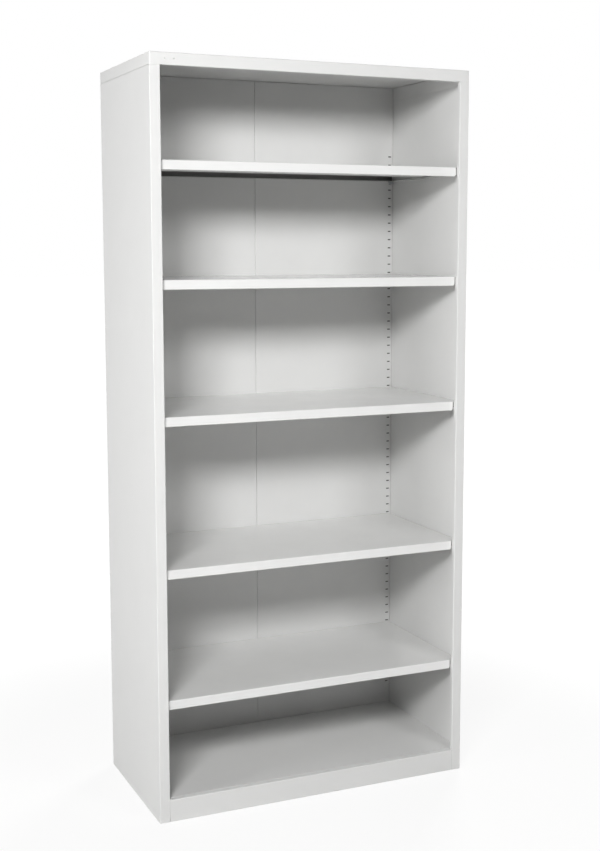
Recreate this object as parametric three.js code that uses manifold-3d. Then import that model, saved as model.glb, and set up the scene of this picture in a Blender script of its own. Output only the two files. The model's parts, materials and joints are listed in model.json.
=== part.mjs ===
// Free-standing sheet-steel bookcase: a welded case of folded panels, a fixed base shelf and five
// lift-off shelves that sit on spring clips hooked into slot columns.
// Millimetres. +X is the case's right as seen from the front, the open front faces -Y, +Z is up.
// The origin is on the floor, in the middle of the case.
import * as THREE from 'three';
import { mergeGeometries, mergeVertices } from 'three/addons/utils/BufferGeometryUtils.js';
import Module from 'manifold-3d';

const wasm = await Module();
wasm.setup();

// Overall case
const HEIGHT = 1985;
const WIDTH = 910;
const DEPTH = 450;

// Sheet and folds
const SHEET = 1;
const BEND_RADIUS = 1.5;
const BEND_STEPS = 2;
const FIT = 0.3;
const WELD_TOLERANCE = 1e-4;

// Top cap: one pan with a flange all round and a return lip behind the front rail
const CAP_HEIGHT = 31;
const CAP_LIP = 18;
const CAP_CORNER = 3;
const CAP_SEAM = 1;
const CAP_LAP = 6;
const RIVET_HOLE = 2.4;
const RIVET_HOLE_INSETS = [40.5, 64.5];
const RIVET_HOLE_SIDES = 8;

// Side panels: face frame stile folded from the panel, with a slotted lip behind it
const STILE_FACE = 28;
const STILE_RETURN = 14;
const STILE_LIP_GAP = 3;
const REAR_FLANGE = 20;

// Back panels, two halves whose flanges meet on the centre line
const BACK_SETBACK = 9;
const BACK_FOOT = 2;

// Slot columns
const SLOT_PITCH = 25;
const SLOT_FIRST = 129.5;
const SLOT_TOP_MARGIN = 160;
const SLOT_INSET = 12;
const SLOT_WIDTH = 9.5;
const SLOT_HEIGHT = 3.4;

// Plinth and base shelf
const PLINTH_HEIGHT = 60;
const PLINTH_LIP = 34;
const PLINTH_FOOT = 20;
const BASE_FLANGE = 40;

// Lift-off shelves, with their levels as shares of the inside height, each set at the nearest slot
const SHELF_LEVELS = [0.868, 0.71, 0.525, 0.313, 0.13];
const SHELF_CLEARANCE = 1;
const SHELF_FRONT_FLANGE = 25;
const SHELF_FRONT_LIP = 12;
const SHELF_FRONT_CORNER = 5;
const SHELF_FLANGE = 20;
const SHELF_SIDE_LIP = 16;
const SHELF_REAR_LIP = 14;
const SHELF_CORNER_RELIEF = 3;

// Hat-section stiffener welded under each shelf
const HAT_WIDTH = 56;
const HAT_BRIM = 12;
const HAT_CROWN = 24;
const HAT_HEIGHT = 15;
const HAT_END_GAP = 8;

// Shelf clips
const CLIP_STRIP = 1.6;
const CLIP_WIDTH = 8;
const CLIP_BEND = 1.3;
const CLIP_TAB = 7;
const CLIP_LEDGE = 14;
const CLIP_NOSE = 3;
const CLIP_BRACE_DROP = 8;

// Finishes
const PAINT = { color: 0xe3e3e1, roughness: 0.42, metalness: 0 };
const ZINC = { color: 0xb4b7ba, roughness: 0.4, metalness: 0.85 };

// Levels and places that several pieces share
const HALF_SHEET = SHEET / 2;
const INNER_TOP = HEIGHT - SHEET;
const INNER_RADIUS = BEND_RADIUS - HALF_SHEET;
const CAP_BOTTOM = HEIGHT - CAP_HEIGHT;
const BASE_TOP = PLINTH_HEIGHT + FIT + SHEET;
const BACK_DEPTH = DEPTH - BACK_SETBACK;
const SHELF_FRONT = STILE_RETURN + SHELF_CLEARANCE;
const SHELF_REAR = BACK_DEPTH - SHELF_CLEARANCE;
const SHELF_INSET = SHEET + SHELF_CLEARANCE;
const CLIP_SEAT = CLIP_STRIP + FIT - SLOT_HEIGHT / 2;
const SHELF_RISE = CLIP_SEAT + FIT + SHELF_FLANGE;

const insetX = (side, inset) => side * (WIDTH / 2 - inset);
const depthY = (depth) => depth - DEPTH / 2;
const LEFT = -1;
const RIGHT = 1;

// Closed solids from three.js geometry, and back

/** Makes a solid that can be joined and cut from a closed geometry. */
function toSolid(geometry) {
  const bare = geometry.clone();
  bare.deleteAttribute('normal');
  bare.deleteAttribute('uv');
  const welded = mergeVertices(bare, WELD_TOLERANCE);
  return new wasm.Manifold(new wasm.Mesh({
    numProp: 3,
    vertProperties: welded.attributes.position.array,
    triVerts: new Uint32Array(welded.index.array),
  }));
}

/** Turns a solid back into a geometry with flat-shaded faces. */
function toGeometry(solid) {
  const { vertProperties, triVerts } = solid.getMesh();
  const indexed = new THREE.BufferGeometry();
  indexed.setAttribute('position', new THREE.BufferAttribute(vertProperties, 3));
  indexed.setIndex(new THREE.BufferAttribute(triVerts, 1));
  const geometry = indexed.toNonIndexed();
  geometry.computeVertexNormals();
  return geometry;
}

/** Joins overlapping solids into one. */
function join(...solids) {
  return solids.reduce((whole, solid) => whole.add(solid));
}

/** The same solid on the other side of the case's middle plane. */
function mirrored(solid) {
  return solid.mirror([1, 0, 0]);
}

// Folded sheet

/** Outline of a strip folded along a centreline of [x, y] corners, with a round bend at each one. */
function foldedStrip(corners, thickness = SHEET, radius = BEND_RADIUS) {
  const points = corners.map(([x, y]) => new THREE.Vector2(x, y));
  const last = points.length - 1;
  const left = [];
  const right = [];
  const addPair = (point, normal) => {
    left.push(point.clone().addScaledVector(normal, thickness / 2));
    right.unshift(point.clone().addScaledVector(normal, -thickness / 2));
  };
  const along = (i) => points[i + 1].clone().sub(points[i]).normalize();
  const leftOf = (direction) => new THREE.Vector2(-direction.y, direction.x);
  addPair(points[0], leftOf(along(0)));
  for (let i = 1; i < last; i += 1) {
    const before = along(i - 1);
    const after = along(i);
    const turn = Math.atan2(before.cross(after), before.dot(after));
    const normal = leftOf(before);
    const spoke = Math.sign(turn) * radius;
    const start = points[i].clone().addScaledVector(before, -radius * Math.tan(Math.abs(turn) / 2));
    const centre = start.clone().addScaledVector(normal, spoke);
    for (let step = 0; step <= BEND_STEPS; step += 1) {
      const turned = normal.clone().rotateAround(new THREE.Vector2(), (turn * step) / BEND_STEPS);
      addPair(centre.clone().addScaledVector(turned, -spoke), turned);
    }
  }
  addPair(points[last], leftOf(along(last - 1)));
  return new THREE.Shape([...left, ...right]);
}

const extrude = (shape, depth) => new THREE.ExtrudeGeometry(shape, { depth, bevelEnabled: false });

/** A plan outline (x, y) raised from one level to another. */
function raise(shape, from, to) {
  return extrude(shape, to - from).translate(0, 0, from);
}

/** A section (y, z) carried from one x to another. */
function carryAcross(shape, from, to) {
  const turnToX = new THREE.Matrix4().makeBasis(
    new THREE.Vector3(0, 1, 0),
    new THREE.Vector3(0, 0, 1),
    new THREE.Vector3(1, 0, 0),
  );
  return extrude(shape, to - from).applyMatrix4(turnToX).translate(from, 0, 0);
}

/** A section (x, z) carried from one y to another. */
function carryBack(shape, from, to) {
  return extrude(shape, to - from).rotateX(Math.PI / 2).translate(0, to, 0);
}

/** A block between two corners. */
function block(low, high) {
  const size = high.map((value, i) => value - low[i]);
  const middle = high.map((value, i) => (value + low[i]) / 2);
  return new THREE.BoxGeometry(...size).translate(...middle);
}

// Slot columns: one cutter for the right-hand column through a sheet that stands between two depths

const slotCount = Math.floor((CAP_BOTTOM - SLOT_TOP_MARGIN - SLOT_FIRST) / SLOT_PITCH) + 1;
const slotLevel = (index) => SLOT_FIRST + index * SLOT_PITCH;

function slotColumn(frontDepth, rearDepth) {
  const centre = insetX(RIGHT, SLOT_INSET);
  const slots = [];
  for (let index = 0; index < slotCount; index += 1) {
    const level = slotLevel(index);
    slots.push(block(
      [centre - SLOT_WIDTH / 2, depthY(frontDepth) - SHEET, level - SLOT_HEIGHT / 2],
      [centre + SLOT_WIDTH / 2, depthY(rearDepth) + SHEET, level + SLOT_HEIGHT / 2],
    ));
  }
  return toSolid(mergeGeometries(slots));
}

/** Right side panel: slotted lip, stile return, stile face, skin and rear flange in one folded sheet. */
function sidePanel() {
  const across = (inset) => insetX(RIGHT, inset);
  const top = CAP_BOTTOM - FIT;
  const lipStart = SHEET + STILE_LIP_GAP;
  const section = foldedStrip([
    [across(lipStart), depthY(STILE_RETURN - HALF_SHEET)],
    [across(STILE_FACE - HALF_SHEET), depthY(STILE_RETURN - HALF_SHEET)],
    [across(STILE_FACE - HALF_SHEET), depthY(HALF_SHEET)],
    [across(HALF_SHEET), depthY(HALF_SHEET)],
    [across(HALF_SHEET), depthY(DEPTH - HALF_SHEET)],
    [across(REAR_FLANGE), depthY(DEPTH - HALF_SHEET)],
  ]);
  // The lip runs on upwards inside the cap and carries it
  const tongue = toSolid(block(
    [across(STILE_FACE - 2 * SHEET - BEND_RADIUS), depthY(STILE_RETURN - SHEET), top - CAP_HEIGHT],
    [across(lipStart), depthY(STILE_RETURN), INNER_TOP - FIT],
  ));
  // The skin stops short of the cap and leaves a shadow line along the side
  const shadowLine = toSolid(block(
    [across(SHEET + BEND_RADIUS / 2), depthY(-SHEET), CAP_BOTTOM - CAP_SEAM],
    [across(-SHEET), depthY(DEPTH + SHEET), HEIGHT],
  ));
  // A joggled strip along the skin's top edge runs up behind the cap's flange and closes that line inside
  const lapStrip = (outerInset, stripTop) => toSolid(block(
    [across(2 * SHEET + FIT), depthY(SHELF_FRONT), CAP_BOTTOM - CAP_LAP],
    [across(outerInset), depthY(BACK_DEPTH - FIT), stripTop],
  ));
  const lap = join(
    lapStrip(HALF_SHEET, CAP_BOTTOM - CAP_SEAM),
    lapStrip(SHEET + FIT, INNER_TOP - INNER_RADIUS - FIT),
  );
  return join(toSolid(raise(section, 0, top)), tongue)
    .subtract(shadowLine)
    .subtract(slotColumn(STILE_RETURN - SHEET, STILE_RETURN))
    .add(lap);
}

/** Right half of the back: a sheet with rearward flanges at its outer edge and on the centre line. */
function backPanel() {
  const flangeEnd = DEPTH - SHEET - FIT;
  const outer = insetX(RIGHT, SHEET + FIT + HALF_SHEET);
  const centre = FIT / 2 + HALF_SHEET;
  const section = foldedStrip([
    [outer, depthY(flangeEnd)],
    [outer, depthY(BACK_DEPTH + HALF_SHEET)],
    [centre, depthY(BACK_DEPTH + HALF_SHEET)],
    [centre, depthY(flangeEnd)],
  ]);
  // The flange is notched where it passes the round inner corner of the cap
  const notch = toSolid(block(
    [insetX(RIGHT, CAP_CORNER), depthY(flangeEnd - CAP_CORNER), CAP_BOTTOM - FIT],
    [insetX(RIGHT, 0), depthY(DEPTH), HEIGHT],
  ));
  return toSolid(raise(section, BACK_FOOT, INNER_TOP - INNER_RADIUS - FIT))
    .subtract(notch)
    .subtract(slotColumn(BACK_DEPTH, BACK_DEPTH + SHEET));
}

/** Rectangle with round corners, centred on the case. */
function roundedPlan(width, depth, corner) {
  const x = width / 2;
  const y = depth / 2;
  const plan = new THREE.Shape();
  plan.moveTo(corner - x, -y);
  plan.lineTo(x - corner, -y);
  plan.absarc(x - corner, corner - y, corner, -Math.PI / 2, 0);
  plan.lineTo(x, y - corner);
  plan.absarc(x - corner, y - corner, corner, 0, Math.PI / 2);
  plan.lineTo(corner - x, y);
  plan.absarc(corner - x, y - corner, corner, Math.PI / 2, Math.PI);
  plan.lineTo(-x, corner - y);
  plan.absarc(corner - x, corner - y, corner, Math.PI, 1.5 * Math.PI);
  return plan;
}

/** Block with round upright corners and round top and bottom edges, its top at z = 0. */
function softBlock(width, depth, height, corner, edge) {
  const core = roundedPlan(width - 2 * edge, depth - 2 * edge, corner - edge);
  return new THREE.ExtrudeGeometry(core, {
    depth: height - 2 * edge,
    curveSegments: BEND_STEPS,
    bevelSize: edge,
    bevelThickness: edge,
    bevelSegments: BEND_STEPS,
  }).translate(0, 0, edge - height);
}

/** Top cap: a drawn pan open below, with the front rail's return lip and two small rivet holes. */
function topCap() {
  const edge = BEND_RADIUS + HALF_SHEET;
  const tall = 2 * CAP_HEIGHT;
  const outside = toSolid(softBlock(WIDTH, DEPTH, tall, CAP_CORNER, edge));
  const hollowBlock = softBlock(WIDTH - 2 * SHEET, DEPTH - 2 * SHEET, tall, CAP_CORNER - SHEET, edge - SHEET);
  const hollow = toSolid(hollowBlock.translate(0, 0, -SHEET));
  const below = toSolid(block([-WIDTH, -DEPTH, -2 * tall], [WIDTH, DEPTH, -CAP_HEIGHT]));
  const lipHalf = WIDTH / 2 - STILE_FACE - FIT;
  const lipSection = foldedStrip([
    [depthY(CAP_LIP), HALF_SHEET - CAP_HEIGHT],
    [depthY(HALF_SHEET), HALF_SHEET - CAP_HEIGHT],
    [depthY(HALF_SHEET), -CAP_HEIGHT / 2],
  ]);
  const lip = toSolid(carryAcross(lipSection, -lipHalf, lipHalf));
  const holes = mergeGeometries(RIVET_HOLE_INSETS.map((inset) => (
    new THREE.CylinderGeometry(RIVET_HOLE / 2, RIVET_HOLE / 2, 4 * SHEET, RIVET_HOLE_SIDES)
      .translate(insetX(LEFT, inset), depthY(HALF_SHEET), -CAP_HEIGHT / 2 + SHEET)
  )));
  // The fold of the lip replaces the rail's square lower edge
  const railEdge = toSolid(block(
    [-lipHalf, depthY(-SHEET), -CAP_HEIGHT - SHEET],
    [lipHalf, depthY(SHEET), BEND_RADIUS + SHEET - CAP_HEIGHT],
  ));
  return outside.subtract(hollow).subtract(below).subtract(railEdge).add(lip).subtract(toSolid(holes));
}

/** Plinth: a channel between the stiles, with a foot below and a lip that carries the base shelf. */
function plinth() {
  const half = WIDTH / 2 - STILE_FACE - FIT;
  const section = foldedStrip([
    [depthY(PLINTH_FOOT), HALF_SHEET],
    [depthY(HALF_SHEET), HALF_SHEET],
    [depthY(HALF_SHEET), PLINTH_HEIGHT - HALF_SHEET],
    [depthY(PLINTH_LIP), PLINTH_HEIGHT - HALF_SHEET],
  ]);
  return toSolid(carryAcross(section, -half, half));
}

/** Base shelf: a sheet on the plinth's lip, with flanges down the sides and the back; top at z = 0. */
function baseShelf() {
  const half = WIDTH / 2 - SHEET - FIT;
  const rear = BACK_DEPTH - FIT;
  const across = foldedStrip([
    [HALF_SHEET - half, -BASE_FLANGE],
    [HALF_SHEET - half, -HALF_SHEET],
    [half - HALF_SHEET, -HALF_SHEET],
    [half - HALF_SHEET, -BASE_FLANGE],
  ]);
  const back = foldedStrip([
    [depthY(rear - HALF_SHEET), -BASE_FLANGE],
    [depthY(rear - HALF_SHEET), -HALF_SHEET],
    [depthY(rear - BASE_FLANGE), -HALF_SHEET],
  ]);
  const relief = half - SHELF_CORNER_RELIEF;
  return join(
    toSolid(carryBack(across, depthY(SHELF_FRONT), depthY(rear - SHELF_CORNER_RELIEF))),
    toSolid(carryAcross(back, -relief, relief)),
  );
}

/** Lift-off shelf: a pan with a deep front flange between the stiles and lipped flanges; top at z = 0. */
function shelfPan() {
  const half = WIDTH / 2 - SHELF_INSET;
  const frontHalf = WIDTH / 2 - STILE_FACE - SHELF_CLEARANCE;
  const relief = half - SHELF_CORNER_RELIEF;
  const sideLip = half - SHELF_SIDE_LIP;
  const across = foldedStrip([
    [-sideLip, HALF_SHEET - SHELF_FLANGE],
    [HALF_SHEET - half, HALF_SHEET - SHELF_FLANGE],
    [HALF_SHEET - half, -HALF_SHEET],
    [half - HALF_SHEET, -HALF_SHEET],
    [half - HALF_SHEET, HALF_SHEET - SHELF_FLANGE],
    [sideLip, HALF_SHEET - SHELF_FLANGE],
  ]);
  const front = foldedStrip([
    [depthY(SHELF_FRONT + SHELF_FRONT_LIP), HALF_SHEET - SHELF_FRONT_FLANGE],
    [depthY(SHELF_FRONT + HALF_SHEET), HALF_SHEET - SHELF_FRONT_FLANGE],
    [depthY(SHELF_FRONT + HALF_SHEET), -HALF_SHEET],
    [depthY(SHELF_FRONT + SHELF_FRONT_FLANGE), -HALF_SHEET],
  ]);
  const rear = foldedStrip([
    [depthY(SHELF_REAR - SHELF_REAR_LIP), HALF_SHEET - SHELF_FLANGE],
    [depthY(SHELF_REAR - HALF_SHEET), HALF_SHEET - SHELF_FLANGE],
    [depthY(SHELF_REAR - HALF_SHEET), -HALF_SHEET],
    [depthY(SHELF_REAR - SHELF_FLANGE), -HALF_SHEET],
  ]);
  // The lower corners of the front flange are clipped at 45 degrees
  const flangeFace = new THREE.Shape([
    new THREE.Vector2(-frontHalf, SHEET),
    new THREE.Vector2(-frontHalf, SHELF_FRONT_CORNER - SHELF_FRONT_FLANGE),
    new THREE.Vector2(SHELF_FRONT_CORNER - frontHalf, -SHELF_FRONT_FLANGE - SHEET),
    new THREE.Vector2(frontHalf - SHELF_FRONT_CORNER, -SHELF_FRONT_FLANGE - SHEET),
    new THREE.Vector2(frontHalf, SHELF_FRONT_CORNER - SHELF_FRONT_FLANGE),
    new THREE.Vector2(frontHalf, SHEET),
  ]);
  const clipped = toSolid(carryAcross(front, -frontHalf, frontHalf))
    .intersect(toSolid(carryBack(flangeFace, -DEPTH, DEPTH)));
  return join(
    toSolid(carryBack(
      across,
      depthY(SHELF_FRONT + SHELF_CORNER_RELIEF),
      depthY(SHELF_REAR - SHELF_CORNER_RELIEF),
    )),
    clipped,
    toSolid(carryAcross(rear, -relief, relief)),
  );
}

/** Hat-section stiffener; its brims lie just under a sheet whose top is at z = 0. */
function hatStiffener(half) {
  const brim = -SHEET - FIT - HALF_SHEET;
  const crown = brim - HAT_HEIGHT + SHEET;
  const outer = HAT_WIDTH / 2;
  const section = foldedStrip([
    [-outer, brim],
    [HAT_BRIM - outer, brim],
    [-HAT_CROWN / 2, crown],
    [HAT_CROWN / 2, crown],
    [outer - HAT_BRIM, brim],
    [outer, brim],
  ]);
  return toSolid(carryAcross(section, -half, half));
}

/** Shelf clip: a bent strip hooked through a slot; slot centre on the sheet's face at the origin. */
function shelfClip() {
  const through = CLIP_SEAT - CLIP_STRIP / 2;
  const section = foldedStrip([
    [SHEET + FIT + CLIP_STRIP / 2, CLIP_TAB],
    [SHEET + FIT + CLIP_STRIP / 2, through],
    [CLIP_STRIP / 2 - CLIP_LEDGE, through],
    [CLIP_STRIP / 2 - CLIP_LEDGE, through - CLIP_NOSE],
    [-FIT - CLIP_STRIP, -CLIP_BRACE_DROP],
  ], CLIP_STRIP, CLIP_BEND);
  return carryAcross(section, -CLIP_WIDTH / 2, CLIP_WIDTH / 2);
}

// Assembly

const bookcase = new THREE.Group();

function place(name, geometry, finish, position = [0, 0, 0], turn = 0) {
  const mesh = new THREE.Mesh(geometry, new THREE.MeshStandardMaterial(finish));
  mesh.name = name;
  mesh.position.set(...position);
  mesh.rotation.z = turn;
  bookcase.add(mesh);
}

const rightSide = sidePanel();
place('left_side_panel', toGeometry(mirrored(rightSide)), PAINT);
place('right_side_panel', toGeometry(rightSide), PAINT);

const rightBack = backPanel();
place('back_panel_left', toGeometry(mirrored(rightBack)), PAINT);
place('back_panel_right', toGeometry(rightBack), PAINT);

place('top_cap', toGeometry(topCap()), PAINT, [0, 0, HEIGHT]);
place('plinth', toGeometry(plinth()), PAINT);
place('base_shelf', toGeometry(baseShelf()), PAINT, [0, 0, BASE_TOP]);

const insideShelf = WIDTH / 2 - SHELF_INSET - SHELF_SIDE_LIP - HAT_END_GAP;
const hat = toGeometry(hatStiffener(insideShelf));
place('base_stiffener', hat.clone(), PAINT, [0, 0, BASE_TOP]);

const pan = toGeometry(shelfPan());
const clip = shelfClip();
const clipSeats = [
  { corner: 'front_left', side: LEFT, face: STILE_RETURN, turn: Math.PI },
  { corner: 'front_right', side: RIGHT, face: STILE_RETURN, turn: Math.PI },
  { corner: 'rear_left', side: LEFT, face: BACK_DEPTH, turn: 0 },
  { corner: 'rear_right', side: RIGHT, face: BACK_DEPTH, turn: 0 },
];
const insideHeight = CAP_BOTTOM - BASE_TOP;

SHELF_LEVELS.forEach((share, i) => {
  const number = i + 1;
  const wanted = BASE_TOP + share * insideHeight;
  const slot = slotLevel(Math.round((wanted - SLOT_FIRST) / SLOT_PITCH));
  place(`shelf_${number}`, pan.clone(), PAINT, [0, 0, slot + SHELF_RISE]);
  place(`shelf_${number}_stiffener`, hat.clone(), PAINT, [0, 0, slot + SHELF_RISE]);
  clipSeats.forEach(({ corner, side, face, turn }) => {
    const seat = [insetX(side, SLOT_INSET), depthY(face), slot];
    place(`clip_${number}_${corner}`, clip.clone(), ZINC, seat, turn);
  });
});

export default bookcase;
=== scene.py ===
"""Looks of a free-standing steel library bookcase.

A welded case of folded, powder-coated sheet stands on the floor. Five lift-off shelves rest in it on
zinc-plated clips. Metres, +Z up, the open front faces -Y.
"""

import json
import math

import bpy
import numpy as np
from bpy.props import FloatProperty, FloatVectorProperty, IntProperty, PointerProperty
from mathutils import Matrix, Vector

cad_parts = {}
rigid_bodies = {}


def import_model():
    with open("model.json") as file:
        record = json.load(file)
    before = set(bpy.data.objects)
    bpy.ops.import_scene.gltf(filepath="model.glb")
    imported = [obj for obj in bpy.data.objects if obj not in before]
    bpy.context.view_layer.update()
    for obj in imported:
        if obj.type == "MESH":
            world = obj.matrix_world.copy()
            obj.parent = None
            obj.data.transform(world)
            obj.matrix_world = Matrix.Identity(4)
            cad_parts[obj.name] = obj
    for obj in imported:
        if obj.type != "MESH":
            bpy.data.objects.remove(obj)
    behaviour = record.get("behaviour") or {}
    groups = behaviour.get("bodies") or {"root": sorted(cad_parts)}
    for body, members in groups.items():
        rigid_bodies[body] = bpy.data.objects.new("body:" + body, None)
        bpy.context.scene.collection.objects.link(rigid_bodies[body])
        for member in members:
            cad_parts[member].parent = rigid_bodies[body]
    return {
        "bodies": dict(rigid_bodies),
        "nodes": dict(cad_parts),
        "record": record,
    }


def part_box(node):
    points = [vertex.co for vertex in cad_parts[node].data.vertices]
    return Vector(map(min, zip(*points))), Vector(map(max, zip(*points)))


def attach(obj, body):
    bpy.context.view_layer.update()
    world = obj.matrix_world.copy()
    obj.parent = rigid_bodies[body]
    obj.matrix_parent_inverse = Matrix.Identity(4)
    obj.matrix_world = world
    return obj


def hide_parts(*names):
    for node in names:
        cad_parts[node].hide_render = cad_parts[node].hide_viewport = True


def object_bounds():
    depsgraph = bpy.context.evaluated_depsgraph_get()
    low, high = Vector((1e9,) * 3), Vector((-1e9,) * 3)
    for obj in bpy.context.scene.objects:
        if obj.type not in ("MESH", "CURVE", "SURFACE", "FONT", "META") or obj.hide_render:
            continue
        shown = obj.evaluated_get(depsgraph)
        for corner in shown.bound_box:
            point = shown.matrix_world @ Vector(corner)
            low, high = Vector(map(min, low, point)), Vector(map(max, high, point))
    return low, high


bl_info = {
    "name": "Steel library bookcase",
    "version": (1, 0, 0),
    "blender": (4, 5, 0),
    "location": "View3D > Sidebar > Bookcase",
    "description": "Folded sheet panels, lift-off shelves, clips and a white studio for a steel bookcase",
    "category": "Add Mesh",
}

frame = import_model()
CAD_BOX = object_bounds()
BOXES = {name: np.array(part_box(name)) for name in frame["nodes"]}
NODE_BODY = {node: body for body, nodes in frame["record"]["behaviour"]["bodies"].items() for node in nodes}

CASE_LOW, CASE_HIGH = (np.array(corner) for corner in CAD_BOX)
SHELF_COUNT = sum(name.startswith("lift_shelf_") for name in frame["bodies"])
MM = 0.001
LOW, HIGH = 0, 1
X, Y, Z = 0, 1, 2
LEFT, RIGHT = -1, 1
# Sockets of a Mix node that mixes colours; its other kinds have sockets of the same names
COLOUR_A, COLOUR_B, COLOUR_RESULT = 6, 7, 2
# Painted shade on the inner faces of rear flanges: how deep under a face its test point lies, and how far
# that point may fall short
PAINTED_SHADE_PROBE, PAINTED_SHADE_MARGIN = 100 * MM, 3 * MM
# Folds turn by less than this from facet to facet and shade smooth; cut edges stay crisp
CRISP_EDGE = math.radians(35)
# Points that agree to this many decimals of a metre are welded
WELD_DIGITS = 7
FINISH_OF_SLOT = {
    "case_paint": "powder_coat_case",
    "shelf_paint": "powder_coat_shelf",
    "clip_zinc": "zinc_plate",
}


def linear(colour):
    """Linear RGB of an sRGB hex colour: each channel goes through the sRGB transfer curve."""
    channels = np.array([int(colour[i:i + 2], 16) for i in (1, 3, 5)]) / 255
    return tuple(np.where(channels <= 0.04045, channels / 12.92, ((channels + 0.055) / 1.055) ** 2.4))


def length(name, description, default):
    """A length property in metres."""
    return FloatProperty(
        name=name, description=description, default=float(default), unit="LENGTH", precision=5)


def share(name, description, default):
    """A property from 0 to 1."""
    return FloatProperty(
        name=name, description=description, default=default, min=0, max=1, subtype="FACTOR")


def watts(name, description, default):
    """A lamp's power in watts."""
    return FloatProperty(name=name, description=description, default=default, min=0, unit="POWER")


def tint(name, description, default):
    """A colour property whose default is an sRGB hex value."""
    return FloatVectorProperty(
        name=name, description=description, default=linear(default), subtype="COLOR", size=3, min=0, max=1)


class BookcaseSheet(bpy.types.PropertyGroup):
    """Sheet steel and its folds."""

    sheet: length("Sheet", "Thickness of the sheet", 1 * MM)
    bend: length("Bend", "Radius of a fold at the middle of the sheet", 1.5 * MM)
    bend_steps: IntProperty(
        name="Bend steps", description="Facets in the round of one fold", default=8, min=2)
    shoulder: length("Shoulder", "Flat kept beside each fold so that broad faces stay flat", 0.4 * MM)
    fit: length("Fit", "Gap between welded neighbours", 0.3 * MM)


class BookcaseCase(bpy.types.PropertyGroup):
    """Panels of the case."""

    stile_return: length("Stile return", "Depth of the stile behind its face", 14 * MM)
    lip_gap: length("Lip gap", "Gap between the slotted lip and the skin", 3 * MM)
    rear_flange: length("Rear flange", "Width of the side panel's rear flange", 20 * MM)
    cap_lip: length("Cap lip", "Depth of the lip behind the top rail", 18 * MM)
    cap_corner: length("Cap corner", "Radius of the cap's upright corners", 3 * MM)
    cap_seam: length("Cap seam", "Shadow line between the skin and the cap", 1 * MM)
    cap_lap: length("Cap lap", "Strip behind the shadow line, from below the cap", 6 * MM)
    rivet_hole: length("Rivet hole", "Diameter of the two holes in the top rail", 2.4 * MM)
    rivet_inset: length("Rivet inset", "First hole from the left edge of the case", 40.5 * MM)
    rivet_spacing: length("Rivet spacing", "Distance between the two holes", 24 * MM)
    plinth_foot: length("Plinth foot", "Depth of the plinth's foot", 20 * MM)
    plinth_lip: length("Plinth lip", "Depth of the lip under the base shelf", 34 * MM)


class BookcaseSlots(bpy.types.PropertyGroup):
    """Slot columns that take the shelf clips."""

    pitch: length("Pitch", "Distance from slot to slot", 25 * MM)
    first: length("First", "Height of the lowest slot", 129.5 * MM)
    count: IntProperty(name="Count", description="Slots in one column", default=67, min=1)
    inset: length("Inset", "Middle of a slot from the side of the case", 12 * MM)
    width: length("Width", "Width of a slot", 9.5 * MM)
    height: length("Height", "Height of a slot", 3.4 * MM)


class BookcaseShelves(bpy.types.PropertyGroup):
    """Lift-off shelves, their stiffeners and clips."""

    clearance: length("Clearance", "Gap between a shelf and the case", 1 * MM)
    front_lip: length("Front lip", "Depth of the lip under the front flange", 12 * MM)
    front_corner: length("Front corner", "Clip of the front flange's lower corners", 5 * MM)
    flange: length("Flange", "Height of the side and rear flanges", 20 * MM)
    side_lip: length("Side lip", "Width of the lips under the side flanges", 16 * MM)
    rear_lip: length("Rear lip", "Depth of the lip under the rear flange", 14 * MM)
    relief: length("Relief", "Cut-out at each corner of the blank", 3 * MM)
    hat_brim: length("Hat brim", "Width of a stiffener's brim", 12 * MM)
    hat_crown: length("Hat crown", "Width of a stiffener's crown", 24 * MM)
    clip_strip: length("Clip strip", "Thickness of a clip's strip", 1.6 * MM)
    clip_bend: length("Clip bend", "Radius of a clip's bends at mid strip", 1.3 * MM)
    clip_nose: length("Clip nose", "Drop of a clip's nose", 3 * MM)
    clip_brace: length("Clip brace", "End of a clip's brace below the middle of its slot", 8 * MM)


class BookcaseFinish(bpy.types.PropertyGroup):
    """Colours and textures of the finishes."""

    case_paint: tint("Case paint", "Light grey polyester powder coat", "#dededd")
    # Painted light: the shelves' coat is set lighter than the case's, standing in for more light on the
    # shelf tops
    shelf_paint: tint("Shelf paint", "The shelves' coat, a shade lighter", "#e6e6e5")
    thin: share("Thin coat", "Brightness of the coat where it is thinnest", 0.95)
    # Painted shade: dark colours on the inner faces of the rear flanges, which darken the slots and the
    # shelf pans
    case_painted_shade: tint("Case bare", "Dull steel behind the slots, which the powder doesn't reach", "#3f3f3e")
    shelf_painted_shade: tint("Shelf bare", "The same inside a shelf pan, where a little powder gets in", "#70706e")
    case_roughness: share("Case roughness", "Semi-gloss of the case's coat", 0.4)
    shelf_roughness: share("Shelf roughness", "Higher gloss of the shelves' coat", 0.15)
    # The real ripple is about 1 mm, too fine to show
    peel: length("Orange peel", "Ripple of the cured coat, drawn coarse enough to show", 3 * MM)
    buckle: length("Buckle", "Spacing of the slight waves in broad sheet", 260 * MM)
    zinc: tint("Zinc", "Bright zinc plate", "#c3c6ca")
    zinc_dull: tint("Zinc, dull", "Zinc plate where it has dulled", "#a4a8ac")
    spangle: length("Spangle", "Size of the zinc's flecks", 1.6 * MM)


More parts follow.
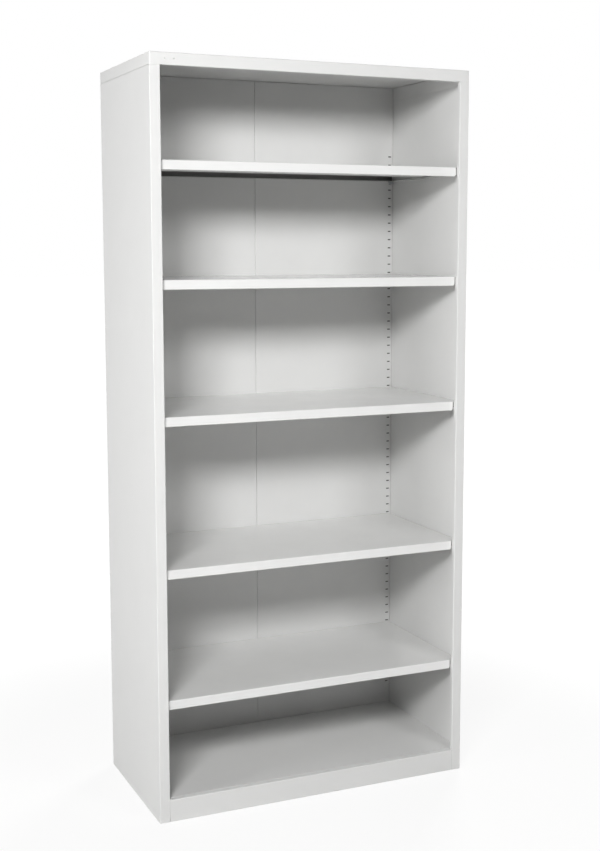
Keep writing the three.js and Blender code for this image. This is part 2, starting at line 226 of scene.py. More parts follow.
class BookcaseStage(bpy.types.PropertyGroup):
    """Studio, lamps and camera."""

    floor: tint("Floor", "Floor, for the light that it throws back", "#d8d8d7")
    floor_reach: length("Floor reach", "Half the floor's width, far enough to pass for endless", 60)
    floor_white: FloatProperty(
        name="Floor white", description="White of the floor to the eye, over 1 for the share in shade",
        default=1.05, min=0)
    shadow_share: share("Shadow share", "Share of real light and shadow close to the case", 0.18)
    shadow_near: length("Shadow near", "Distance from the middle up to which shadow shows in full", 0.8)
    shadow_far: length("Shadow far", "Distance from the middle at which shadow has faded out", 1.8)
    key_power: watts("Key", "Softbox at the front left, above the case", 111)
    front_power: watts("Front", "Softbox at the front right, above the case", 40)
    side_power: watts("Side", "Softbox on the left", 38)
    rear_power: watts("Rear", "Softbox behind on the right, for the sides that the photo doesn't show", 115)
    lens: FloatProperty(name="Lens", description="Focal length in millimetres", default=55.7, min=1)


class BookcaseSettings(bpy.types.PropertyGroup):
    """All settings of the bookcase."""

    sheet: PointerProperty(type=BookcaseSheet)
    case: PointerProperty(type=BookcaseCase)
    slots: PointerProperty(type=BookcaseSlots)
    shelves: PointerProperty(type=BookcaseShelves)
    finish: PointerProperty(type=BookcaseFinish)
    stage: PointerProperty(type=BookcaseStage)


# Shapes


def at(side, inset):
    """Place across the case: inset is measured inwards from that side."""
    return side * (CASE_HIGH[X] - inset)


def stile_width(panel="left_side_panel"):
    """Width of a stile, which is the whole width of its side panel."""
    low, high = BOXES[panel]
    return high[X] - low[X]


def fold_line(corners, radius, settings):
    """Middle line of a folded sheet in its section, as an (n, 2) array.

    Straight runs join the corners. At each corner the line follows centre + radius * spoke(angle), an arc
    tangent to both runs, with a shoulder point just before and just after it.
    """
    corners = np.asarray(corners, float)
    runs = np.diff(corners, axis=0)
    runs /= np.linalg.norm(runs, axis=1, keepdims=True)
    before, after = runs[:-1], runs[1:]
    cross = before[:, 0] * after[:, 1] - before[:, 1] * after[:, 0]
    turn = np.arctan2(cross, (before * after).sum(1))
    trim = (radius * np.tan(np.abs(turn) / 2))[:, None]
    inward = np.stack([-before[:, 1], before[:, 0]], 1) * np.sign(turn)[:, None]
    start = corners[1:-1] - before * trim
    centre = start + inward * radius
    angle = turn[:, None] * np.linspace(0, 1, settings.bend_steps + 1)
    cos, sin = np.cos(angle), np.sin(angle)
    spoke_x = cos * -inward[:, :1] + sin * inward[:, 1:]
    spoke_y = -sin * inward[:, :1] - cos * inward[:, 1:]
    arcs = centre[:, None] + radius * np.stack([spoke_x, spoke_y], -1)
    lead = start - before * settings.shoulder
    tail = corners[1:-1] + after * (trim + settings.shoulder)
    bends = np.concatenate([lead[:, None], arcs, tail[:, None]], 1).reshape(-1, 2)
    return np.concatenate([corners[:1], bends, corners[-1:]])


def run_start(bend, settings):
    """Index at which points can be put into the straight run after that many bends of a fold line."""
    return 1 + bend * (settings.bend_steps + 3)


def middles(values):
    """Midpoint of each interval."""
    return (values[:-1] + values[1:]) / 2


def surface(grid, keep):
    """Vertices and quads of a (rows, columns, 3) grid of points; keep says which of its cells are sheet."""
    rows, columns = grid.shape[:2]
    index = np.arange(rows * columns).reshape(rows, columns)
    quads = np.stack([index[:-1, :-1], index[1:, :-1], index[1:, 1:], index[:-1, 1:]], -1)
    return grid.reshape(-1, 3), quads[keep]


def sheet_piece(name, surfaces, thickness, faces=()):
    """Object made of sheet: the surfaces are welded where their points meet and given their thickness.

    Each surface is the middle of the sheet. Solidify moves it by half the thickness to both sides and
    closes the cut edges. Other faces are listed by the numbers of their points in the first surface.
    """
    offsets = np.cumsum([0] + [len(vertices) for vertices, _ in surfaces])
    points = np.concatenate([vertices for vertices, _ in surfaces])
    quads = np.concatenate([cells + offset for (_, cells), offset in zip(surfaces, offsets)])
    used = np.unique(np.concatenate([quads.ravel(), *faces]))
    rounded = np.round(points[used], WELD_DIGITS)
    _, first, place = np.unique(rounded, axis=0, return_index=True, return_inverse=True)
    renumber = np.zeros(len(points), int)
    renumber[used] = place.ravel()
    mesh = bpy.data.meshes.new(name)
    polygons = renumber[quads].tolist() + [renumber[face].tolist() for face in faces]
    mesh.from_pydata(points[used][first], [], polygons)
    blank = bpy.data.objects.new(name + "_blank", mesh)
    bpy.context.scene.collection.objects.link(blank)
    wall = blank.modifiers.new("Sheet", "SOLIDIFY")
    wall.thickness = thickness
    wall.offset = 0
    wall.use_even_offset = True
    return finished(name, blank)


def finished(name, blank):
    """Object at the origin from a blank with its modifiers applied; the blank is removed."""
    ready = blank.evaluated_get(bpy.context.evaluated_depsgraph_get())
    mesh = bpy.data.meshes.new_from_object(ready)
    mesh.name = name
    mesh.shade_smooth()
    mesh.set_sharp_from_angle(angle=CRISP_EDGE)
    bpy.data.objects.remove(blank)
    piece = bpy.data.objects.new(name, mesh)
    bpy.context.scene.collection.objects.link(piece)
    return piece


def upright_sheet(line, levels):
    """Grid of a plan line (x, y) carried up through the levels."""
    grid = np.empty((len(line), len(levels), 3))
    grid[..., :Z] = line[:, None]
    grid[..., Z] = levels
    return grid


def level_strip(line, places):
    """Grid of a section (y, z) carried across through the places on X."""
    grid = np.empty((len(line), len(places), 3))
    grid[..., Y:] = line[:, None]
    grid[..., X] = places
    return grid


def pan_grid(across, along, top):
    """Grid of a pan from its sections across (x, z) and along (y, z), whose drops below the top add up."""
    grid = np.empty((len(across), len(along), 3))
    grid[..., X] = across[:, :1]
    grid[..., Y] = along[:, 0]
    grid[..., Z] = across[:, 1:] + along[:, 1] - top
    return grid


def whole(grid):
    """Mask that keeps every cell of a grid."""
    return np.ones((grid.shape[0] - 1, grid.shape[1] - 1), bool)


def slot_levels(slots):
    """Lower and upper edges of a slot column, from the floor up."""
    centres = slots.first + slots.pitch * np.arange(slots.count)
    return (centres[:, None] + slots.height * np.array([-0.5, 0.5])).ravel()


# Finishes


def add_node(tree, kind, settings=None, links=None):
    """Adds a node, sets its properties or input sockets, and links its inputs from (node, output)."""
    node = tree.nodes.new(kind)
    for name, value in (settings or {}).items():
        if hasattr(node, name):
            setattr(node, name, value)
        else:
            node.inputs[name].default_value = value
    for name, (source, output) in (links or {}).items():
        tree.links.new(source.outputs[output], node.inputs[name])
    return node


def empty_material(name):
    """New material with an empty node tree."""
    material = bpy.data.materials.new(name)
    material.use_nodes = True
    material.node_tree.nodes.clear()
    return material


def powder_coat(name, finish, paint, painted_shade, roughness, rear, offset):
    """Polyester powder coat, sprayed as dry powder and cured: a semi-gloss skin with a fine orange peel.

    The eye gets a soft even grey, broad blurred reflections that bend with the slight waves of the thin
    sheet, and a ripple that breaks up highlights. The inner face of a rear flange gets a dark colour,
    painted shade that makes slots and shelf pans look dark there: with a place p and a normal n, that face
    is where a point d under the surface, p - d n, lies almost d behind the rear edge.
    """
    film_size = 0.35 * finish.buckle
    gloss_spread = 0.1
    wave_height, wave_strength = 1.2 * MM, 0.35
    ripple_height, ripple_strength = 0.12 * MM, 0.12
    material = empty_material(name)
    tree = material.node_tree
    coords = add_node(tree, "ShaderNodeTexCoord")
    place = add_node(tree, "ShaderNodeMapping", {"Location": offset}, {"Vector": (coords, "Object")})
    film = add_node(
        tree, "ShaderNodeTexNoise",
        {"Scale": 1 / film_size, "Detail": 3, "Roughness": 0.6}, {"Vector": (place, "Vector")})
    coat = add_node(tree, "ShaderNodeMix", {"data_type": "RGBA"}, {"Factor": (film, "Fac")})
    coat.inputs[COLOUR_A].default_value = (*(finish.thin * channel for channel in paint), 1)
    coat.inputs[COLOUR_B].default_value = (*paint, 1)
    # Painted shade: forward-facing faces just inside the rear edge get the dark colour
    under = add_node(
        tree, "ShaderNodeVectorMath", {"operation": "MULTIPLY_ADD"},
        {0: (coords, "Normal"), 2: (coords, "Object")})
    under.inputs[1].default_value = (-PAINTED_SHADE_PROBE, -PAINTED_SHADE_PROBE, -PAINTED_SHADE_PROBE)
    axes = add_node(tree, "ShaderNodeSeparateXYZ", None, {"Vector": (under, "Vector")})
    painted_shade_mask = add_node(tree, "ShaderNodeMath", {"operation": "GREATER_THAN"}, {0: (axes, "Y")})
    painted_shade_mask.inputs[1].default_value = rear + PAINTED_SHADE_PROBE - PAINTED_SHADE_MARGIN
    colour = add_node(
        tree, "ShaderNodeMix", {"data_type": "RGBA"},
        {"Factor": (painted_shade_mask, "Value"), COLOUR_A: (coat, COLOUR_RESULT)})
    colour.inputs[COLOUR_B].default_value = (*painted_shade, 1)
    gloss = add_node(
        tree, "ShaderNodeMapRange",
        {"To Min": (1 - gloss_spread) * roughness, "To Max": (1 + gloss_spread) * roughness},
        {"Value": (film, "Fac")})
    buckle = add_node(
        tree, "ShaderNodeTexNoise",
        {"Scale": 1 / finish.buckle, "Detail": 1}, {"Vector": (place, "Vector")})
    waves = add_node(
        tree, "ShaderNodeBump",
        {"Strength": wave_strength, "Distance": wave_height}, {"Height": (buckle, "Fac")})
    peel = add_node(
        tree, "ShaderNodeTexNoise",
        {"Scale": 1 / finish.peel, "Detail": 2}, {"Vector": (place, "Vector")})
    ripple = add_node(
        tree, "ShaderNodeBump", {"Strength": ripple_strength, "Distance": ripple_height},
        {"Height": (peel, "Fac"), "Normal": (waves, "Normal")})
    skin = add_node(
        tree, "ShaderNodeBsdfPrincipled", {"IOR": 1.5},
        {"Base Color": (colour, COLOUR_RESULT), "Roughness": (gloss, "Result"),
         "Normal": (ripple, "Normal")})
    add_node(tree, "ShaderNodeOutputMaterial", None, {"Surface": (skin, "BSDF")})
    return material


def zinc_plate(name, finish):
    """Bright zinc plate on bent spring steel.

    The eye gets a cool grey metal with small crystal flecks and faint lines from drawing the strip.
    """
    line_size, line_stretch = 0.5 * MM, 0.08
    line_depth, line_strength = 0.05 * MM, 0.2
    smooth, rough = 0.26, 0.44
    material = empty_material(name)
    tree = material.node_tree
    coords = add_node(tree, "ShaderNodeTexCoord")
    fleck = add_node(
        tree, "ShaderNodeTexVoronoi", {"Scale": 1 / finish.spangle}, {"Vector": (coords, "Object")})
    drawn = add_node(
        tree, "ShaderNodeMapping",
        {"Scale": (1, line_stretch, line_stretch)}, {"Vector": (coords, "Object")})
    lines = add_node(
        tree, "ShaderNodeTexNoise", {"Scale": 1 / line_size, "Detail": 2}, {"Vector": (drawn, "Vector")})
    colour = add_node(tree, "ShaderNodeMix", {"data_type": "RGBA"}, {"Factor": (fleck, "Color")})
    colour.inputs[COLOUR_A].default_value = (*finish.zinc_dull, 1)
    colour.inputs[COLOUR_B].default_value = (*finish.zinc, 1)
    gloss = add_node(
        tree, "ShaderNodeMapRange", {"To Min": smooth, "To Max": rough}, {"Value": (lines, "Fac")})
    grain = add_node(
        tree, "ShaderNodeBump",
        {"Strength": line_strength, "Distance": line_depth}, {"Height": (lines, "Fac")})
    metal = add_node(
        tree, "ShaderNodeBsdfPrincipled", {"Metallic": 1},
        {"Base Color": (colour, COLOUR_RESULT), "Roughness": (gloss, "Result"),
         "Normal": (grain, "Normal")})
    add_node(tree, "ShaderNodeOutputMaterial", None, {"Surface": (metal, "BSDF")})
    return material


def finish_named(name, finish):
    """The finish of that name, made once."""
    if name in bpy.data.materials:
        return bpy.data.materials[name]
    if name == "zinc_plate":
        return zinc_plate(name, finish)
    if name == "powder_coat_shelf":
        # The offset keeps the shelves' pattern from carrying on the case's
        return powder_coat(
            name, finish, finish.shelf_paint, finish.shelf_painted_shade, finish.shelf_roughness,
            rear=BOXES["shelf_1"][HIGH][Y], offset=(0.31, 0.17, 0.43))
    return powder_coat(
        name, finish, finish.case_paint, finish.case_painted_shade, finish.case_roughness,
        rear=CASE_HIGH[Y], offset=(0, 0, 0))


def dress(piece, node, slot, finish):
    """Puts a piece in place of its CAD node: finish, body and material slot."""
    piece.data.materials.append(finish_named(FINISH_OF_SLOT[slot], finish))
    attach(piece, NODE_BODY[node])
    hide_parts(node)


# Pieces


class MESH_OT_bookcase_sides(bpy.types.Operator):
    """Make the two side panels: slotted lip, stile and skin folded from one sheet each"""

    bl_idname = "mesh.bookcase_sides"
    bl_label = "Side panels"

    def execute(self, context):
        settings = context.scene.bookcase
        sheet, case, slots = settings.sheet, settings.case, settings.slots
        half = sheet.sheet / 2
        front, rear = CASE_LOW[Y], CASE_HIGH[Y]
        cap_bottom = BOXES["top_cap"][LOW][Z]
        levels = np.concatenate([
            [0], slot_levels(slots),
            [cap_bottom - case.cap_seam, cap_bottom - sheet.fit, CASE_HIGH[Z] - sheet.sheet - sheet.fit],
        ])
        for side, node in ((LEFT, "left_side_panel"), (RIGHT, "right_side_panel")):
            stile = stile_width(node)
            lip = front + case.stile_return - half
            tongue = stile - 2 * sheet.sheet - sheet.bend
            corners = [
                (at(side, sheet.sheet + case.lip_gap), lip),
                (at(side, stile - half), lip),
                (at(side, stile - half), front + half),
                (at(side, half), front + half),
                (at(side, half), rear - half),
                (at(side, case.rear_flange), rear - half),
            ]
            cuts = [
                (at(side, slots.inset - slots.width / 2), lip),
                (at(side, slots.inset + slots.width / 2), lip),
                (at(side, tongue), lip),
            ]
            first = run_start(0, sheet)
            line = np.insert(fold_line(corners, sheet.bend, sheet), first, cuts, axis=0)
            grid = upright_sheet(line, levels)
            keep = whole(grid)
            keep[first, 1:2 * slots.count:2] = False
            # Only a tongue of the slotted lip runs up into the cap, and the skin ends at the shadow line
            keep[first + len(cuts) - 1:, -1] = False
            inset = CASE_HIGH[X] - side * middles(line[:, 0])
            keep[inset < sheet.sheet + sheet.bend / 2, -2] = False
            # A strip behind the shadow line runs up inside the cap's flange
            strip = at(side, 1.5 * sheet.sheet + sheet.fit)
            ends = [front + case.stile_return + settings.shelves.clearance,
                    BOXES["back_panel_left"][LOW][Y] - sheet.fit]
            lap = upright_sheet(
                np.array([(strip, end) for end in ends]),
                [cap_bottom - case.cap_lap, CASE_HIGH[Z] - sheet.bend - half - sheet.fit])
            surfaces = [surface(grid, keep), surface(lap, whole(lap))]
            piece = sheet_piece(node + "_sheet", surfaces, sheet.sheet)
            dress(piece, node, "case_paint", settings.finish)
        return {"FINISHED"}


class MESH_OT_bookcase_backs(bpy.types.Operator):
    """Make the two halves of the back, whose flanges meet on the centre line"""

    bl_idname = "mesh.bookcase_backs"
    bl_label = "Back panels"

    def execute(self, context):
        settings = context.scene.bookcase
        sheet, case, slots = settings.sheet, settings.case, settings.slots
        half = sheet.sheet / 2
        cap_bottom = BOXES["top_cap"][LOW][Z]
        for side, node in ((LEFT, "back_panel_left"), (RIGHT, "back_panel_right")):
            low, high = BOXES[node]
            face, flange = low[Y] + half, high[Y]
            outer = at(side, sheet.sheet + sheet.fit + half)
            centre = side * (sheet.fit / 2 + half)
            corners = [(outer, flange), (outer, face), (centre, face), (centre, flange)]
            line = fold_line(corners, sheet.bend, sheet)
            cuts = [
                (at(side, slots.inset - slots.width / 2), face),
                (at(side, slots.inset + slots.width / 2), face),
            ]
            first = run_start(1, sheet)
            line = np.insert(line, first, cuts, axis=0)
            line = np.insert(line, 1, [(outer, flange - case.cap_corner)], axis=0)
            levels = np.concatenate([[low[Z]], slot_levels(slots), [cap_bottom - sheet.fit, high[Z]]])
            grid = upright_sheet(line, levels)
            keep = whole(grid)
            keep[first + 1, 1:2 * slots.count:2] = False
            keep[0, -1] = False
            piece = sheet_piece(node + "_sheet", [surface(grid, keep)], sheet.sheet)
            dress(piece, node, "case_paint", settings.finish)
        return {"FINISHED"}


class MESH_OT_bookcase_cap(bpy.types.Operator):
    """Make the top cap: a drawn pan with round corners, a lipped front rail and two small holes"""

    bl_idname = "mesh.bookcase_cap"
    bl_label = "Top cap"

    @staticmethod
    def ring(inset, corner, steps, breaks):
        """Rounded rectangle: four arcs of (corner - inset) about fixed centres, from the front left round.

        The front side also has a point at each of the given breaks.
        """
        angle = np.linspace(0, math.pi / 2, steps + 1)
        quarter = np.stack([np.cos(angle), np.sin(angle)], -1) * (corner - inset)
        turned = [
            np.stack([-quarter[:, 0], -quarter[:, 1]], -1),
            np.stack([quarter[:, 1], -quarter[:, 0]], -1),
            np.stack([quarter[:, 0], quarter[:, 1]], -1),
            np.stack([-quarter[:, 1], quarter[:, 0]], -1),
        ]
        signs = np.array([(-1, -1), (1, -1), (1, 1), (-1, 1)])
        centres = signs * (CASE_HIGH[:Z] - corner)
        arcs = [centre + arc for centre, arc in zip(centres, turned)]
        front = np.stack([breaks, np.full(len(breaks), CASE_LOW[Y] + inset)], -1)
        return np.concatenate([arcs[0], front, *arcs[1:]])

    @staticmethod
    def drill(case, level):
        """Two closed rods through the top rail: circles of the hole's radius carried along Y."""
        sides = 16
        angle = np.linspace(0, 2 * math.pi, sides, endpoint=False)
        circle = np.stack([np.cos(angle), np.sin(angle)], -1) * case.rivet_hole / 2
        centres = at(LEFT, case.rivet_inset) + case.rivet_spacing * np.arange(2)
        depths = CASE_LOW[Y] + np.array([-1, 1]) * case.cap_corner
        points = np.empty((2, 2, sides, 3))
        points[..., X] = centres[:, None, None] + circle[:, 0]
        points[..., Y] = depths[:, None]
        points[..., Z] = level + circle[:, 1]
        index = np.arange(points.size // 3).reshape(2, 2, sides)
        near, far = index[:, 0], index[:, 1]
        walls = np.stack([near, far, np.roll(far, -1, -1), np.roll(near, -1, -1)], -1)
        ends = [*near.tolist(), *far[:, ::-1].tolist()]
        mesh = bpy.data.meshes.new("rail_drill")
        mesh.from_pydata(points.reshape(-1, 3), [], walls.reshape(-1, 4).tolist() + ends)
        drill = bpy.data.objects.new("rail_drill", mesh)
        bpy.context.scene.collection.objects.link(drill)
        return drill

    def execute(self, context):
        settings = context.scene.bookcase
        sheet, case = settings.sheet, settings.case
        half = sheet.sheet / 2
        top, bottom = CASE_HIGH[Z], BOXES["top_cap"][LOW][Z]
        lip_half = CASE_HIGH[X] - stile_width() - sheet.fit
        # The flat lid starts just short of the corner's centre, where its ring would shrink to nothing
        lid_inset = 0.9 * case.cap_corner
        section = fold_line(
            [(half, bottom), (half, top - half), (lid_inset, top - half)], sheet.bend, sheet)
        rail_edge = bottom + half + sheet.bend + sheet.shoulder
        section = np.insert(section, 1, [(half, rail_edge)], axis=0)
        breaks = np.array([-lip_half, lip_half])
        rings = np.array([
            self.ring(inset, case.cap_corner, sheet.bend_steps, breaks) for inset, _ in section])
        grid = np.concatenate([rings, np.broadcast_to(section[:, None, 1:], (*rings.shape[:2], 1))], -1)
        grid = np.concatenate([grid, grid[:, :1]], 1)
        keep = whole(grid)
        keep[0, sheet.bend_steps + 1] = False
        last = (len(section) - 1) * grid.shape[1]
        lid = np.arange(last, last + grid.shape[1] - 1)
        lip = fold_line(
            [(CASE_LOW[Y] + case.cap_lip, bottom + half), (CASE_LOW[Y] + half, bottom + half),
             (CASE_LOW[Y] + half, rail_edge)], sheet.bend, sheet)
        strip = level_strip(lip[:-1], breaks)
        surfaces = [surface(grid, keep), surface(strip, whole(strip))]
        pan = sheet_piece("top_cap_pan", surfaces, sheet.sheet, [lid])
        drill = self.drill(case, (top + bottom) / 2)
        holes = pan.modifiers.new("Holes", "BOOLEAN")
        holes.operation = "DIFFERENCE"
        holes.object = drill
        piece = finished("top_cap_sheet", pan)
        bpy.data.objects.remove(drill)
        dress(piece, "top_cap", "case_paint", settings.finish)
        return {"FINISHED"}


class MESH_OT_bookcase_base(bpy.types.Operator):
    """Make the plinth and the base shelf on its lip"""

    bl_idname = "mesh.bookcase_base"
    bl_label = "Plinth and base shelf"

    def execute(self, context):
        settings = context.scene.bookcase
        sheet, case, shelves = settings.sheet, settings.case, settings.shelves
        half = sheet.sheet / 2
        low, high = BOXES["plinth"]
        corners = [
            (low[Y] + case.plinth_foot, half), (low[Y] + half, half),
            (low[Y] + half, high[Z] - half), (low[Y] + case.plinth_lip, high[Z] - half),
        ]
        grid = level_strip(fold_line(corners, sheet.bend, sheet), [low[X], high[X]])
        piece = sheet_piece("plinth_sheet", [surface(grid, whole(grid))], sheet.sheet)
        dress(piece, "plinth", "case_paint", settings.finish)

        low, high = BOXES["base_shelf"]
        top = high[Z] - half
        across = fold_line(
            [(low[X] + half, low[Z]), (low[X] + half, top),
             (high[X] - half, top), (high[X] - half, low[Z])], sheet.bend, sheet)
        relief = np.array([low[X] + shelves.relief, high[X] - shelves.relief])
        across = np.insert(across, run_start(1, sheet), np.stack([relief, [top, top]], -1), axis=0)
        along = fold_line(
            [(low[Y], top), (high[Y] - half, top), (high[Y] - half, low[Z])], sheet.bend, sheet)
        stop = high[Y] - shelves.relief
        along = np.insert(along, run_start(0, sheet), [(stop, top)], axis=0)
        grid = pan_grid(across, along, top)
        side_fold = np.abs(middles(across[:, 0])) > relief[HIGH]
        rear_fold = middles(along[:, 0]) > stop
        keep = ~(side_fold[:, None] & rear_fold)
        piece = sheet_piece("base_shelf_sheet", [surface(grid, keep)], sheet.sheet)
        dress(piece, "base_shelf", "case_paint", settings.finish)
        return {"FINISHED"}


class MESH_OT_bookcase_shelves(bpy.types.Operator):
    """Make the lift-off shelves, each a pan folded from one blank with notched corners"""

    bl_idname = "mesh.bookcase_shelves"
    bl_label = "Lift-off shelves"

    def execute(self, context):
        settings = context.scene.bookcase
        sheet, shelves = settings.sheet, settings.shelves
        half = sheet.sheet / 2
        front_half = CASE_HIGH[X] - stile_width() - shelves.clearance
        for number in range(1, SHELF_COUNT + 1):
            node = f"shelf_{number}"
            low, high = BOXES[node]
            top, bottom = high[Z] - half, low[Z] + half
            side_bottom = high[Z] - shelves.flange + half
            side = high[X] - half
            lip = high[X] - shelves.side_lip
            across = fold_line(
                [(-lip, side_bottom), (-side, side_bottom), (-side, top),
                 (side, top), (side, side_bottom), (lip, side_bottom)], sheet.bend, sheet)
            relief = high[X] - shelves.relief
            cuts = [(-relief, top), (-front_half, top), (front_half, top), (relief, top)]
            across = np.insert(across, run_start(2, sheet), cuts, axis=0)
            front, rear = low[Y] + half, high[Y] - half
            along = fold_line(
                [(low[Y] + shelves.front_lip, bottom), (front, bottom), (front, top),
                 (rear, top), (rear, side_bottom), (high[Y] - shelves.rear_lip, side_bottom)],
                sheet.bend, sheet)
            stops = [(low[Y] + shelves.relief, top), (high[Y] - shelves.relief, top)]
            along = np.insert(along, run_start(2, sheet), stops, axis=0)
            corner = low[Z] + shelves.front_corner
            along = np.insert(along, run_start(1, sheet), [(front, corner)], axis=0)
            first = run_start(2, sheet) + 1
            grid = pan_grid(across, along, top)
            # The lower corners of the front flange are clipped at 45 degrees
            drop = np.clip(corner - along[:first, 1], 0, None)
            limit = front_half - drop
            grid[:, :first, X] = np.clip(grid[:, :first, X], -limit, limit)
            cell = np.arange(len(along) - 1)
            front_fold = cell < first
            rear_fold = cell > first
            reach = np.abs(middles(across[:, 0]))
            in_flat = np.zeros(len(across) - 1, bool)
            in_flat[run_start(2, sheet):run_start(2, sheet) + len(cuts) - 1] = True
            mid = in_flat & (reach < front_half)
            keep = np.where(front_fold, mid[:, None], np.where(rear_fold, in_flat[:, None], True))
            piece = sheet_piece(node + "_sheet", [surface(grid, keep)], sheet.sheet)
            dress(piece, node, "shelf_paint", settings.finish)
        return {"FINISHED"}


class MESH_OT_bookcase_stiffeners(bpy.types.Operator):
    """Make the hat sections welded under the shelves"""

    bl_idname = "mesh.bookcase_stiffeners"
    bl_label = "Stiffeners"

    def execute(self, context):
        settings = context.scene.bookcase
        sheet, shelves = settings.sheet, settings.shelves
        half = sheet.sheet / 2
        nodes = [f"shelf_{number}_stiffener" for number in range(1, SHELF_COUNT + 1)] + ["base_stiffener"]
        for node in nodes:
            low, high = BOXES[node]
            brim, crown = high[Z] - half, low[Z] + half
            outer, edge, flat = high[Y], high[Y] - shelves.hat_brim, shelves.hat_crown / 2
            corners = [
                (-outer, brim), (-edge, brim), (-flat, crown), (flat, crown), (edge, brim), (outer, brim),
            ]
            grid = level_strip(fold_line(corners, sheet.bend, sheet), [low[X], high[X]])
            piece = sheet_piece(node + "_sheet", [surface(grid, whole(grid))], sheet.sheet)
            slot = "case_paint" if node == "base_stiffener" else "shelf_paint"
            dress(piece, node, slot, settings.finish)
        return {"FINISHED"}


class MESH_OT_bookcase_clips(bpy.types.Operator):
    """Make the shelf clips, bent from spring strip and hooked into the slots"""

    bl_idname = "mesh.bookcase_clips"
    bl_label = "Shelf clips"

    def execute(self, context):
        settings = context.scene.bookcase
        sheet, shelves, slots = settings.sheet, settings.shelves, settings.slots
        strip = shelves.clip_strip
        # A hook ends about this share of a pitch above the middle of its slot
        hook_rise = 0.25
        for node in sorted(name for name in BOXES if name.startswith("clip_")):
            low, high = BOXES[node]
            # A front clip faces the rear: its hook is at the low end of its box
            facing = -1 if "front" in node else 1
            hook, tip = (high[Y], low[Y]) if facing > 0 else (low[Y], high[Y])
            number = round((high[Z] - slots.first) / slots.pitch - hook_rise)
            slot = slots.first + slots.pitch * number
            ledge = slot + strip + sheet.fit - slots.height / 2 - strip / 2
            face = hook - facing * (sheet.sheet + sheet.fit + strip)
            corners = [
                (hook - facing * strip / 2, high[Z]),
                (hook - facing * strip / 2, ledge),
                (tip + facing * strip / 2, ledge),
                (tip + facing * strip / 2, ledge - shelves.clip_nose),
                (face - facing * (sheet.fit + strip), slot - shelves.clip_brace),
            ]
            grid = level_strip(fold_line(corners, shelves.clip_bend, sheet), [low[X], high[X]])
            piece = sheet_piece(node + "_strip", [surface(grid, whole(grid))], strip)
            dress(piece, node, "clip_zinc", settings.finish)
        return {"FINISHED"}


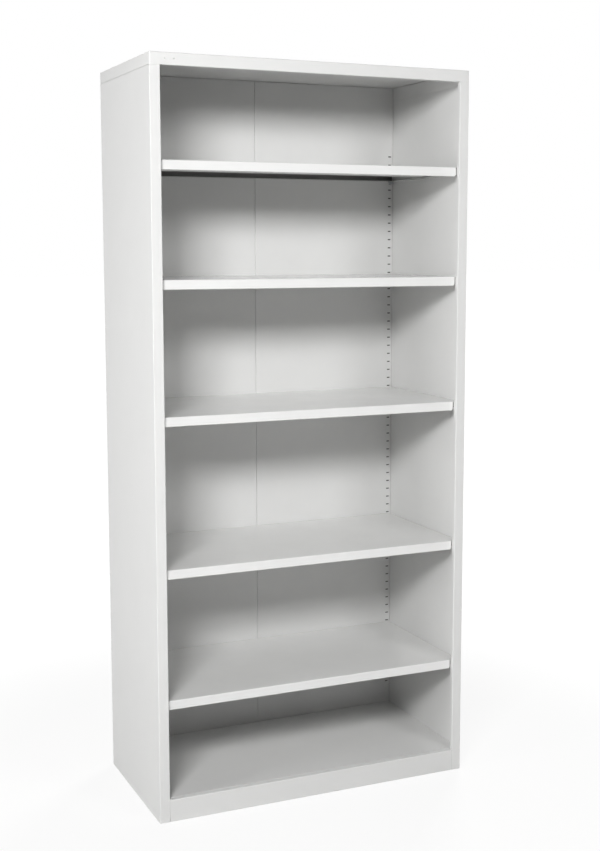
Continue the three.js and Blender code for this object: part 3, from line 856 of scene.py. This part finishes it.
class SCENE_OT_bookcase_stage(bpy.types.Operator):
    """Set the white studio, its four softboxes and the camera"""

    bl_idname = "scene.bookcase_stage"
    bl_label = "Studio"

    @staticmethod
    def seen(tree):
        """1 where the camera, a reflection or a see-through surface looks, 0 where light bounces."""
        path = add_node(tree, "ShaderNodeLightPath")
        eye = add_node(
            tree, "ShaderNodeMath", {"operation": "MAXIMUM"},
            {0: (path, "Is Camera Ray"), 1: (path, "Is Glossy Ray")})
        return add_node(
            tree, "ShaderNodeMath", {"operation": "MAXIMUM"},
            {0: (eye, "Value"), 1: (path, "Is Transmission Ray")})

    def lay_floor(self, stage):
        """Matt floor, white to the eye.

        Close to the case a share of the light that it gets shows too, and with it a soft shadow.
        """
        reach = stage.floor_reach
        corners = [(-reach, -reach, 0), (reach, -reach, 0), (reach, reach, 0), (-reach, reach, 0)]
        mesh = bpy.data.meshes.new("floor")
        mesh.from_pydata(corners, [], [(0, 1, 2, 3)])
        floor = bpy.data.objects.new("floor", mesh)
        bpy.context.scene.collection.objects.link(floor)
        material = empty_material("matt_white_floor")
        tree = material.node_tree
        coords = add_node(tree, "ShaderNodeTexCoord")
        away = add_node(tree, "ShaderNodeVectorMath", {"operation": "LENGTH"}, {0: (coords, "Object")})
        white_share = add_node(
            tree, "ShaderNodeMapRange",
            {"interpolation_type": "SMOOTHSTEP", "From Min": stage.shadow_near,
             "From Max": stage.shadow_far, "To Min": 1 - stage.shadow_share, "To Max": 1},
            {"Value": (away, "Value")})
        part = add_node(
            tree, "ShaderNodeMath", {"operation": "MULTIPLY"},
            {0: (self.seen(tree), "Value"), 1: (white_share, "Result")})
        matt = add_node(tree, "ShaderNodeBsdfDiffuse", {"Color": (*stage.floor, 1)})
        white = add_node(tree, "ShaderNodeEmission", {"Strength": stage.floor_white})
        mix = add_node(
            tree, "ShaderNodeMixShader", None,
            {0: (part, "Value"), 1: (matt, "BSDF"), 2: (white, "Emission")})
        add_node(tree, "ShaderNodeOutputMaterial", None, {"Surface": (mix, "Shader")})
        mesh.materials.append(material)

    def make_world(self):
        """White surroundings to the eye, which give the case no light of their own."""
        world = bpy.data.worlds.new("white_studio")
        world.use_nodes = True
        tree = world.node_tree
        tree.nodes.clear()
        white = add_node(
            tree, "ShaderNodeBackground", {"Color": (1, 1, 1, 1)}, {"Strength": (self.seen(tree), "Value")})
        add_node(tree, "ShaderNodeOutputWorld", None, {"Surface": (white, "Background")})
        bpy.context.scene.world = world

    def softbox(self, name, place, target, size, power):
        """Rectangular area lamp that faces a point and leaves no glare, as in the photo."""
        lamp = bpy.data.lights.new(name, "AREA")
        lamp.shape = "RECTANGLE"
        lamp.size, lamp.size_y = size
        lamp.energy = power
        box = bpy.data.objects.new(name, lamp)
        aim = (Vector(target) - Vector(place)).to_track_quat("-Z", "Y")
        box.matrix_world = Matrix.Translation(place) @ aim.to_matrix().to_4x4()
        box.visible_glossy = False
        bpy.context.scene.collection.objects.link(box)

    def aim_camera(self, scene, stage):
        """Camera at the photo's angle: it looks down at the case from the left of its front.

        Ahead is the unit vector of azimuth and elevation; right and up are square to it and turned by the
        roll. The shift cuts the picture a little off the lens axis.
        """
        azimuth, elevation, roll = (math.radians(angle) for angle in (24.1335, 6.9589, -0.0467))
        eye = Vector((-1.453, -3.4016, 1.5089))
        sensor_mm = 36
        shift = (-0.00883, -0.02156)
        ahead = Vector((
            math.sin(azimuth) * math.cos(elevation),
            math.cos(azimuth) * math.cos(elevation),
            -math.sin(elevation),
        ))
        level = ahead.cross(Vector((0, 0, 1))).normalized()
        upright = level.cross(ahead)
        right = math.cos(roll) * level + math.sin(roll) * upright
        up = -math.sin(roll) * level + math.cos(roll) * upright
        view = bpy.data.cameras.new("camera")
        view.lens = stage.lens
        view.sensor_width = sensor_mm
        view.shift_x, view.shift_y = shift
        camera = bpy.data.objects.new("camera", view)
        turn = Matrix((right, up, -ahead)).transposed().to_4x4()
        camera.matrix_world = Matrix.Translation(eye) @ turn
        scene.collection.objects.link(camera)
        scene.camera = camera

    def execute(self, context):
        scene = context.scene
        stage = scene.bookcase.stage
        self.lay_floor(stage)
        self.make_world()
        # The front lamps aim at the far foot, which evens out the light on the front
        middle = (0, 0, CASE_HIGH[Z] / 2)
        far_foot = (CASE_HIGH[X], CASE_LOW[Y], 0)
        self.softbox("key_softbox", (-2.07, -2.95, 2.45), far_foot, (1.0, 0.6), stage.key_power)
        self.softbox("front_softbox", (1.2, -3.4, 2.7), far_foot, (1.0, 0.8), stage.front_power)
        self.softbox("rear_softbox", (2.5, 2.7, 3.0), middle, (1.2, 1.2), stage.rear_power)
        self.softbox("side_softbox", (-3.35, -0.6, 1.5), middle, (1.0, 0.5), stage.side_power)
        self.aim_camera(scene, stage)
        scene.view_settings.view_transform = "Standard"
        return {"FINISHED"}


class VIEW3D_PT_bookcase(bpy.types.Panel):
    """Lists the bookcase's pieces and settings"""

    bl_label = "Bookcase"
    bl_space_type = "VIEW_3D"
    bl_region_type = "UI"
    bl_category = "Bookcase"

    def draw(self, context):
        settings = context.scene.bookcase
        for operator in OPERATORS:
            self.layout.operator(operator.bl_idname)
        for group in GROUPS:
            box = self.layout.box()
            part = getattr(settings, group)
            for name in part.bl_rna.properties.keys():
                if name not in {"rna_type", "name"}:
                    box.prop(part, name)


GROUPS = ("sheet", "case", "slots", "shelves", "finish", "stage")
OPERATORS = (
    MESH_OT_bookcase_sides,
    MESH_OT_bookcase_backs,
    MESH_OT_bookcase_cap,
    MESH_OT_bookcase_base,
    MESH_OT_bookcase_shelves,
    MESH_OT_bookcase_stiffeners,
    MESH_OT_bookcase_clips,
    SCENE_OT_bookcase_stage,
)
CLASSES = (
    BookcaseSheet,
    BookcaseCase,
    BookcaseSlots,
    BookcaseShelves,
    BookcaseFinish,
    BookcaseStage,
    BookcaseSettings,
    *OPERATORS,
    VIEW3D_PT_bookcase,
)


def register():
    for cls in CLASSES:
        bpy.utils.register_class(cls)
    bpy.types.Scene.bookcase = PointerProperty(type=BookcaseSettings)


def unregister():
    del bpy.types.Scene.bookcase
    for cls in reversed(CLASSES):
        bpy.utils.unregister_class(cls)


def main():
    register()
    bpy.ops.mesh.bookcase_sides()
    bpy.ops.mesh.bookcase_backs()
    bpy.ops.mesh.bookcase_cap()
    bpy.ops.mesh.bookcase_base()
    bpy.ops.mesh.bookcase_shelves()
    bpy.ops.mesh.bookcase_stiffeners()
    bpy.ops.mesh.bookcase_clips()
    bpy.ops.scene.bookcase_stage()


if __name__ == "__main__":
    main()
